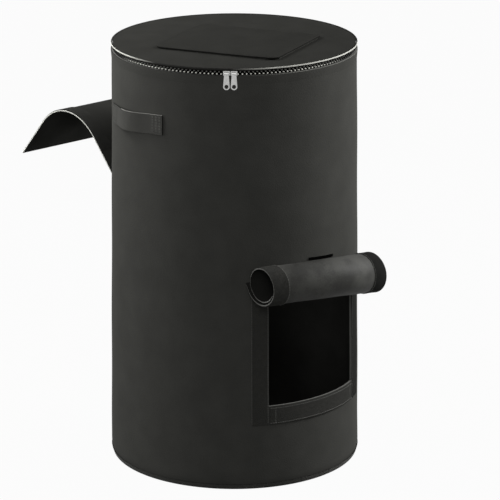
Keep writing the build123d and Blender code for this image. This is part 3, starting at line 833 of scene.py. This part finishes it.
def roll_points(x, turn):
    """Middle of the wound sheet at x, a turn after it first touches the roll."""
    middle, radius, heading = roll_frame(x)[1:]
    share = (x + FLAP_SHIFT) / HALF_FLAP
    ripple = ROLL_RIPPLE * np.sin(RIPPLES_ALONG * share + RIPPLES_ROUND * turn) * np.sin(turn / 2)
    reach = radius - TURN_STEP * turn / (2 * np.pi) + ripple
    angle = heading + np.pi / 2 - turn
    inside = np.clip((turn - np.pi) / np.pi, 0, 1)
    shift = -ROLL_DRAWN_IN * inside * np.sign(share) * abs(share) ** DRAWN_IN_POWER
    return np.stack([x + shift, middle[0] + reach * np.cos(angle), middle[1] + reach * np.sin(angle)], axis=-1)


roll_x = stops(FINE_STEP, -HALF_FLAP, -HOOK_EDGE, HOOK_EDGE, HALF_FLAP) - FLAP_SHIFT
roll_turns = stops(ROLL_STEP, 0, HOOKED_TURN, WOUND_TURN)
wound = roll_points(*np.meshgrid(roll_x, roll_turns, indexing="ij"))
roll = cloth_sheet("door_roll", wound, (FLAP_MOTTLE_AND_HIGHLIGHT_CLOTH, LINING, EDGE))
soften(roll, CLOTH_ROUNDING)
dress(roll, "front_flap", "body_cloth", "front_door_flap")

tail_start = np.stack([roll_x, *roll_frame(roll_x)[0]], axis=-1)
tail_end = roll_points(roll_x, np.zeros_like(roll_x))
tail_shares = np.linspace(0, 1, TAIL_COLUMNS)[None, :, None]
tail_grid = tail_start[:, None] * (1 - tail_shares) + tail_end[:, None] * tail_shares
tail = cloth_sheet("door_flap_tail", tail_grid, (FLAP_MOTTLE_AND_HIGHLIGHT_CLOTH, LINING, EDGE))
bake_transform(tail)


def roll_band(name, start, end, first, last, node_name, material):
    """Hook strip sewn on the outside of the wound sheet. Gives its outer face and the normals there."""
    band_x = stops(FINE_STEP, start, end) - FLAP_SHIFT
    grid = roll_points(*np.meshgrid(band_x, stops(ROLL_STEP, first, last), indexing="ij"))
    side = normals(grid)
    low = grid + side * (CLOTH / 2 + LAYER_GAP)
    high = grid + side * (CLOTH / 2 + LAYER_GAP + STRIP)
    dress(slab(name, low, high, (material,) * 3), "front_flap", "hook_and_loop", node_name)
    return high, side


left_band, left_side = roll_band(
    "roll_band_left", -HALF_FLAP, LEFT_BAND_WIDTH - HALF_FLAP, 0, HOOKED_TURN, "front_door_hook_left", HOOK_PILE
)
# The right band takes the hook pile's darker copy, painted shade
right_band, right_side = roll_band(
    "roll_band_right", HALF_FLAP - RIGHT_BAND_WIDTH, HALF_FLAP, 0, HOOKED_TURN, "front_door_hook_right",
    HOOK_PILE_PAINTED_SHADE,
)
roll_band(
    "roll_free_hooks", -HOOK_EDGE, HOOK_EDGE, WOUND_TURN - FREE_TURN, WOUND_TURN, "front_door_hook_bottom",
    HOOK_PILE,
)
roll_rows = [(left_band[-1], left_side[-1]), (right_band[0], right_side[0])]
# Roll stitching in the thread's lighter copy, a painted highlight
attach(stitches("roll_stitching", roll_rows, HIGHLIGHT_THREAD), "front_flap")


# Back flap, thrown up so that it arches out from the wall

def arch_points(x, run):
    """Middle of the arched sheet at x, at a distance along it."""
    rise = np.array((np.cos(ARCH_RISE_ANGLE), np.sin(ARCH_RISE_ANGLE)))
    above = np.array((-rise[1], rise[0]))
    turned = np.clip((run - ARCH_RISE_RUN) / ARCH_CROWN_RADIUS, 0, ARCH_CROWN_TURN)
    fallen = np.clip(run - ARCH_RISE_RUN - ARCH_CROWN_RADIUS * ARCH_CROWN_TURN, 0, None)
    root = np.array((ARCH_ROOT, BACK_SEAM)) + above * CLOTH / 2
    centre = root + rise * ARCH_RISE_RUN - above * ARCH_CROWN_RADIUS
    straight = root + rise * np.minimum(run, ARCH_RISE_RUN)[..., None]
    angle = ARCH_RISE_ANGLE + np.pi / 2 - turned
    crown = centre + ARCH_CROWN_RADIUS * np.stack([np.cos(angle), np.sin(angle)], axis=-1)
    end_angle = ARCH_RISE_ANGLE - ARCH_CROWN_TURN
    fall = fallen[..., None] * np.array((np.cos(end_angle), np.sin(end_angle)))
    profile = np.where((run <= ARCH_RISE_RUN)[..., None], straight, crown + fall)
    hug = np.sqrt((BACK_SKIN + CLOTH / 2) ** 2 - x**2)
    return np.stack([x, np.maximum(profile[..., 0], hug), profile[..., 1]], axis=-1)


arch_x = stops(FINE_STEP, -HALF_FLAP, HALF_FLAP)
arch_runs = stops(FINE_STEP, 0, ARCH_LENGTH)
arch = arch_points(*np.meshgrid(arch_x, arch_runs, indexing="ij"))
thrown = cloth_sheet("back_flap", arch, (ARCH_CLOTH, ARCH_LINING, LIGHT_EDGE))
soften(thrown, CLOTH_ROUNDING)
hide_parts("back_door_flap")
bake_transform(thrown)

hook_outer = HALF_FLAP - STRIP_INSET
hook_start = (BACK_SKIN + CLOTH + STRIP - ARCH_ROOT) / np.cos(ARCH_RISE_ANGLE)
hook_end = ARCH_LENGTH - DOOR_STRIP_WIDTH - 2 * STRIP_INSET
for side, start, end, first, last in (
    ("right", -hook_outer, -HOOK_EDGE, hook_start, hook_end),
    ("left", HOOK_EDGE, hook_outer, hook_start, hook_end),
    ("bottom", -hook_outer, hook_outer, hook_end + STRIP_INSET, ARCH_LENGTH - STRIP_INSET),
):
    runs = stops(FINE_STEP, first, last)
    grid = arch_points(*np.meshgrid(stops(FINE_STEP, start, end), runs, indexing="ij"))
    facing = normals(grid)
    low = grid + facing * (CLOTH / 2 + LAYER_GAP)
    thick = STRIP * np.clip((runs - first) / FINE_STEP / 2, HOOK_START_SHARE, 1)[:, None]
    strip = slab(f"back_flap_{side}_hooks", low, low + facing * thick, (HOOK_TAPE,) * 3)
    dress(strip, "back_flap", "hook_and_loop", f"back_door_hook_{side}")


# Lid with its hatch opening and piping

def hatch_place(local):
    """Points of the lid's plane from distances along and across the hatch."""
    return HATCH_CENTRE + local[..., :1] * HATCH_ALONG + local[..., 1:] * HATCH_ACROSS


def hatch_outline(inset):
    """Rounded rectangle of the hatch, drawn in by an inset, counterclockwise, in its own directions."""
    half = np.array((HATCH_LENGTH / 2 - inset, HATCH_WIDTH / 2 - inset))
    corner = max(HATCH_CORNER - inset / 2, LEAST_CORNER)
    arcs = rounded(-half, half, corner, HATCH_CORNER_STEPS).reshape(4, HATCH_CORNER_STEPS + 1, 2)
    side_shares = np.arange(1, HATCH_SIDE_STEPS) / HATCH_SIDE_STEPS
    outline = []
    for arc, following in zip(arcs, np.roll(arcs, -1, axis=0)):
        end, start = arc[-1], following[0]
        outline.extend(arc)
        outline.extend(end + (start - end) * share for share in side_shares)
    return np.array(outline)


opening = hatch_place(hatch_outline(HATCH_LAP))
ray = opening - HATCH_CENTRE
ray /= np.linalg.norm(ray, axis=1, keepdims=True)
reach = ray @ HATCH_CENTRE
edge_distance = -reach + np.sqrt(reach**2 + LID_RADIUS**2 - HATCH_CENTRE @ HATCH_CENTRE)
edge = HATCH_CENTRE + ray * edge_distance[:, None]
shares = np.linspace(0, 1, LID_COLUMNS)[None, :, None]
lid_under = at_height(edge[:, None] * (1 - shares) + opening[:, None] * shares, LID_LOW)
lid = slab("lid", lid_under, lid_under + (0, 0, CLOTH), (LID_CLOTH, LINING, EDGE), around=True)
dress(lid, "lid", "body_cloth", "lid_panel")

piping_low, piping_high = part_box("lid_binding")
lit_low = piping_low.z + PIPING_LIT_SHARE * (piping_high.z - piping_low.z)
lit_radius = LID_RADIUS + PIPING_LIT_INSET
piping_start, piping_end = (LID_RADIUS + LAYER_GAP, piping_low.z), (piping_high.x, piping_high.z)
piping = hoop("lid_piping", rounded(piping_start, piping_end, PIPING_ROUND, PIPING_STEPS), LID_CLOTH)


def takes_painted_highlight(face):
    """Whether a face belongs to the outer side of the piping, which takes the painted highlight."""
    return face.normal.z < PIPING_LIT_SLOPE and face.center.z > lit_low and face.center.xy.length > lit_radius


# The piping's outer faces take the painted highlight
repaint(piping, takes_painted_highlight, PIPING_HIGHLIGHT)
dress(piping, "lid", "binding_tape", "lid_binding")


# Zip, and the lid's cloth hinge behind it

def zip_band(name, low, high, node_name, body):
    """Woven tape that carries a row of teeth."""
    turns = stops(WALL_STEP, ZIP_START, ZIP_FRONT + ZIP_HALF_TURN)
    turn, height = np.meshgrid(turns, stops(TAPE_STEP, low, high), indexing="ij")
    up = np.stack([np.zeros_like(height), np.zeros_like(height), height], axis=-1)
    inner = outward(turn) * ZIP_TAPE_INNER + up
    outer = outward(turn) * ZIP_TAPE_OUTER + up
    dress(slab(name, inner, outer, (ZIP_CLOTH,) * 3), body, "zip_tape", node_name)


def tooth_row(name, low, first, node_name, body, material):
    """Row of metal teeth, each clamped on its tape and narrowed at its head."""
    width, depth, height = TOOTH_SIZE
    points, faces = [], []
    for number in range(TOOTH_COUNT):
        azimuth = first + number * TOOTH_TURN
        out, side = outward(azimuth), np.array((np.cos(azimuth), np.sin(azimuth), 0))
        middle = out * TOOTH_RADIUS + np.array((0, 0, low))
        faces.extend(face[::-1] for face in bar_faces(len(points)))
        for rise, shrink in TOOTH_PROFILE:
            for across, deep in ((-1, -1), (1, -1), (1, 1), (-1, 1)):
                points.append(
                    middle + side * across * shrink * width / 2 + out * deep * shrink * depth / 2
                    + np.array((0, 0, rise * height))
                )
    dress(make(name, points, faces, [material]), body, "zip_metal", node_name)


zip_band("zip_lower_tape", WALL_HIGH - ZIP_TAPE_DEPTH, LOWER_TEETH_LOW, "zip_tape_lower", "bin")
zip_band("zip_upper_tape", UPPER_TEETH_HIGH, LID_LOW, "zip_tape_upper", "lid")
# Lower row with the painted highlight, upper row with its painted shade
tooth_row("teeth_lower", LOWER_TEETH_LOW, ZIP_START + TOOTH_TURN / 4, "zip_teeth_lower", "bin", TOOTH_METAL)
tooth_row(
    "teeth_upper", UPPER_TEETH_HIGH - TOOTH_SIZE[2], ZIP_START + 3 * TOOTH_TURN / 4, "zip_teeth_upper", "lid",
    SHADED_TOOTH_METAL,
)

hinge_low, hinge_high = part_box("lid_hinge_strip")
hinge_middle = ZIP_FRONT + np.pi
hinge = wall_patch(
    "lid_hinge_cloth", stops(WALL_STEP, hinge_middle - HINGE_HALF, hinge_middle + HINGE_HALF),
    stops(TAPE_STEP, hinge_low.z, hinge_high.z), STRIP_LIFT, STRIP_LIFT + TAPE, (BINDING, BINDING, EDGE),
)
dress(hinge, "bin", "binding_tape", "lid_hinge_strip")


# Feed hatch

hatch_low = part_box("hatch_flap")[0].z
hatch_rings = np.stack([hatch_place(hatch_outline(inset)) for inset in HATCH_INSETS], axis=1)
hatch_sink = HATCH_EDGE_DROP * np.exp(-HATCH_INSETS / HATCH_EDGE_FADE)
hatch_reach = (hatch_rings - HATCH_CENTRE) @ HATCH_ALONG / (HATCH_LENGTH / 2)
hatch_curl = HATCH_CURL * np.clip(hatch_reach, 0, 1) ** 3
hatch_under = at_height(hatch_rings, hatch_low - hatch_sink + hatch_curl)
# Hatch top in the lid cloth's darker copy, painted shade; its cut edges in the lining's dark, a painted shadow
# line round it
hatch = slab(
    "hatch", hatch_under, hatch_under + (0, 0, CLOTH), (HATCH_CLOTH_PAINTED_SHADE, LINING, LINING), around=True, cap=True
)
soften(hatch, CLOTH_ROUNDING)
dress(hatch, "hatch", "body_cloth", "hatch_flap")


def hatch_strip(name, centre, size, low, high, material, body, slot, node_name):
    """Flat strip under the hatch."""
    along, across = [
        stops(FINE_STEP, middle - extent / 2, middle + extent / 2) for middle, extent in zip(centre, size)
    ]
    flat = hatch_place(np.stack(np.meshgrid(along, across, indexing="ij"), axis=-1))
    strip = slab(name, at_height(flat, low), at_height(flat, high), (material,) * 3)
    dress(strip, body, slot, node_name)


side_place = (HATCH_LENGTH - HATCH_STRIP_WIDTH) / 2 - STRIP_INSET
near_place = (HATCH_WIDTH - HATCH_STRIP_WIDTH) / 2 - STRIP_INSET
side_size = (HATCH_STRIP_WIDTH, HATCH_WIDTH - 2 * HATCH_STRIP_WIDTH)
near_size = (HATCH_LENGTH - 2 * (HATCH_STRIP_WIDTH + 2 * STRIP_INSET), HATCH_STRIP_WIDTH)
loop_high = LID_TOP + STRIP
hook_low = loop_high + LAYER_GAP
hook_high = hook_low + STRIP * HATCH_HOOK_SHARE
for side, centre, size in (
    ("left", (-side_place, 0), side_size),
    ("right", (side_place, 0), side_size),
    ("near", (0, -near_place), near_size),
):
    hatch_strip(
        f"hatch_{side}_loops", centre, size, LID_TOP, loop_high, LOOP_PILE,
        "lid", "hook_and_loop", f"hatch_loop_{side}",
    )
    hatch_strip(
        f"hatch_{side}_hooks", centre, size, hook_low, hook_high, HOOK_PILE,
        "hatch", "hook_and_loop", f"hatch_hook_{side}",
    )
hatch_strip(
    "hatch_hinge_cloth", (0, near_place), near_size, LID_TOP, hook_low + HATCH_HINGE_RISE, BINDING,
    "lid", "binding_tape", "hatch_hinge_strip",
)


# Carrying straps

def strap_lift(turn):
    """How far the strap bows away from the wall."""
    share = np.clip(abs(turn) / BOW_TURN, 0, 1)
    return HANDLE_BOW * (1 + np.cos(np.pi * share)) / 2


for side, middle in (("left", -HANDLE_AZIMUTH), ("right", HANDLE_AZIMUTH)):
    strap_turns = stops(STRAP_STEP, -STRAP_TURN, -BOW_TURN, BOW_TURN, STRAP_TURN)
    turn, height = np.meshgrid(strap_turns, stops(FINE_STEP, STRAP_LOW, STRAP_HIGH), indexing="ij")
    rear = turn * np.sign(middle) / STRAP_TURN
    height = height - STRAP_SINK - STRAP_TILT * rear
    low, high = LAYER_GAP + strap_lift(turn), LAYER_GAP + STRAP + strap_lift(turn)
    strap = wall_layer(f"strap_{side}", middle + turn, height, low, high, (WEBBING,) * 3)
    # Cut edges of the strap: painted highlight on the level ones towards the front, painted shade in the
    # lining's dark on the rest
    strap.data.materials.append(LINING)
    strap.data.materials.append(STRAP_HIGHLIGHT_EDGE)
    for face in strap.data.polygons:
        if face.material_index == RIM:
            highlighted = abs(face.normal.z) > STRAP_LEVEL_FACE and face.center.y < STRAP_HIGHLIGHT_REACH
            face.material_index = STRAP_HIGHLIGHT_RIM if highlighted else STRAP_SHADE_RIM
    soften(strap, STRAP_ROUNDING)
    dress(strap, "bin", "webbing", f"handle_{side}")
    # Front stitching in the thread's lighter copy, a painted highlight; rear stitching in the plain thread
    for part, end, thread in (("front", -np.sign(middle), HIGHLIGHT_THREAD), ("rear", np.sign(middle), THREAD)):
        drop = STRAP_SINK + (STRAP_TILT if part == "rear" else -STRAP_TILT)
        first, last = STRAP_LOW + STITCH_MARGIN - drop, STRAP_HIGH - STITCH_MARGIN - drop
        turns = [middle + end * (STRAP_TURN - inset / WALL_RADIUS) for inset in STITCH_ROWS]
        rows = [upright(turn, first, last, LAYER_GAP + STRAP) for turn in turns]
        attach(stitches(f"strap_{side}_{part}_stitching", rows, thread), "bin")


# Metal pieces keep their solids

for name, material in (
    ("zip_end_stops", ZIP_METAL),
    ("slider_left", SLIDER_METAL),
    ("slider_right", SLIDER_METAL),
    ("pull_left", SLIDER_METAL),
    ("pull_right", SLIDER_METAL),
):
    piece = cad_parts[name]
    piece.data.materials.clear()
    piece.data.materials.append(material)
    soften(piece, METAL_ROUNDING)


# Camera at the photograph's viewing angle

CAMERA_DISTANCE = 5.1718
CAMERA_AZIMUTH = np.radians(42)
CAMERA_HEIGHT = 1.9695
CAMERA_PITCH = np.radians(17.0529)
CAMERA_YAW = np.radians(0.3162)
CAMERA_LENS = 210.64
CAMERA_SENSOR = 36
CAMERA_REACH = 50

camera = bpy.data.objects.new("camera", bpy.data.cameras.new("camera"))
camera.data.lens = CAMERA_LENS
camera.data.sensor_width = CAMERA_SENSOR
camera.data.clip_end = CAMERA_REACH
camera.location = outward(-CAMERA_AZIMUTH) * CAMERA_DISTANCE + np.array((0, 0, CAMERA_HEIGHT))
camera.rotation_euler = (np.pi / 2 - CAMERA_PITCH, 0, -CAMERA_AZIMUTH - CAMERA_YAW)
bpy.context.scene.collection.objects.link(camera)
bpy.context.scene.camera = camera


# Floor, background and light

FLOOR_SIZE = 40.0
FLOOR_WHITE = 0.12
FLOOR_GLOW = 0.965
AMBIENT = 0.20
WHITE = (1, 1, 1, 1)
LIGHT_AIM = Vector((0, 0, 0.4))


def seen_directly(tree):
    """One for rays that show the background itself or its reflection."""
    path = node(tree, "LightPath")
    glossy = math(tree, "MAXIMUM", path.outputs["Is Camera Ray"], path.outputs["Is Glossy Ray"])
    return math(tree, "MAXIMUM", glossy, path.outputs["Is Transmission Ray"])


def pale_floor():
    """Plain pale floor that shows white, with some of the object's shadow."""
    made, tree, shader = surface("floor")
    wire(tree, shader, {
        "Base Color": (FLOOR_WHITE, FLOOR_WHITE, FLOOR_WHITE, 1),
        "Roughness": 1.0,
        "Specular IOR Level": 0.0,
    })
    glow = node(tree, "Emission", {"Color": WHITE, "Strength": 1.0})
    share = math(tree, "MULTIPLY", seen_directly(tree), FLOOR_GLOW)
    mix = node(tree, "MixShader", {0: share, 1: shader.outputs["BSDF"], 2: glow.outputs["Emission"]})
    tree.links.new(mix.outputs["Shader"], tree.nodes["Material Output"].inputs["Surface"])
    return made


def softbox(name, place, size, power):
    """Square area light that points at the middle of the object."""
    light = bpy.data.lights.new(name, "AREA")
    light.size = size
    light.energy = power
    lamp = bpy.data.objects.new(name, light)
    lamp.location = place
    lamp.rotation_euler = (LIGHT_AIM - Vector(place)).to_track_quat("-Z", "Y").to_euler()
    bpy.context.scene.collection.objects.link(lamp)


half = FLOOR_SIZE / 2
floor_corners = [(-half, -half, 0), (half, -half, 0), (half, half, 0), (-half, half, 0)]
floor_mesh = bpy.data.meshes.new("floor")
floor_mesh.from_pydata(floor_corners, [], [(0, 1, 2, 3)])
floor_mesh.materials.append(pale_floor())
floor = bpy.data.objects.new("floor", floor_mesh)
bpy.context.scene.collection.objects.link(floor)

world = bpy.data.worlds.new("studio")
world.use_nodes = True
bpy.context.scene.world = world
sky = world.node_tree
soft_light = sky.nodes["Background"]
wire(sky, soft_light, {"Color": WHITE, "Strength": AMBIENT})
white = node(sky, "Background", {"Color": WHITE, "Strength": 1.0})
sky_mix = node(sky, "MixShader", {
    0: seen_directly(sky),
    1: soft_light.outputs["Background"],
    2: white.outputs["Background"],
})
sky.links.new(sky_mix.outputs["Shader"], sky.nodes["World Output"].inputs["Surface"])

softbox("right_softbox", place=(2.26, -1.22, 1.75), size=1.2, power=112)
softbox("left_softbox", place=(-1.70, 1.80, 0.85), size=1.2, power=34)
softbox("top_softbox", place=(-0.45, 0.65, 1.35), size=0.5, power=11)
softbox("front_softbox", place=(-2.0, -2.23, 1.8), size=1.2, power=28)

bpy.context.scene.view_settings.view_transform = "Standard"
